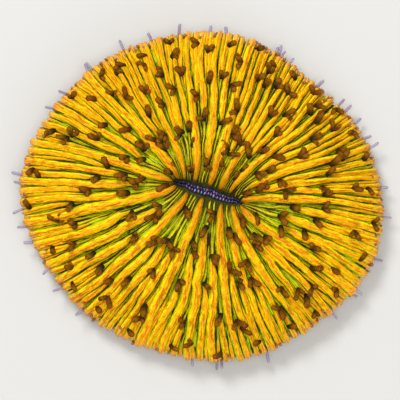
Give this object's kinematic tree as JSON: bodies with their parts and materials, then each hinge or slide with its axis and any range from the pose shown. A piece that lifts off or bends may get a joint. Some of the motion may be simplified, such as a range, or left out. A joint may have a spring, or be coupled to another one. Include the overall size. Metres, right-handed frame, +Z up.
{
  "type": "mushroom coral",
  "caption": "Living mushroom coral: a low domed disc with radiating ridges, short tentacles and a slit mouth, resting flat on its underside.",
  "frame": {"origin": "middle of the bounding box, on the flat underside that the coral rests on", "axes": "+X along the slit mouth and the disc's longest way, +Y across the mouth, +Z up out of the mouth"},
  "size_m": [0.081, 0.0734, 0.0169],
  "materials": {
    "tissue": "satin",
    "tentacle": "satin",
    "mouth": "satin",
    "underside": "matte"
  },
  "bodies": {
    "root": {"mushroom_coral": "tissue"}
  },
  "joints": []
}
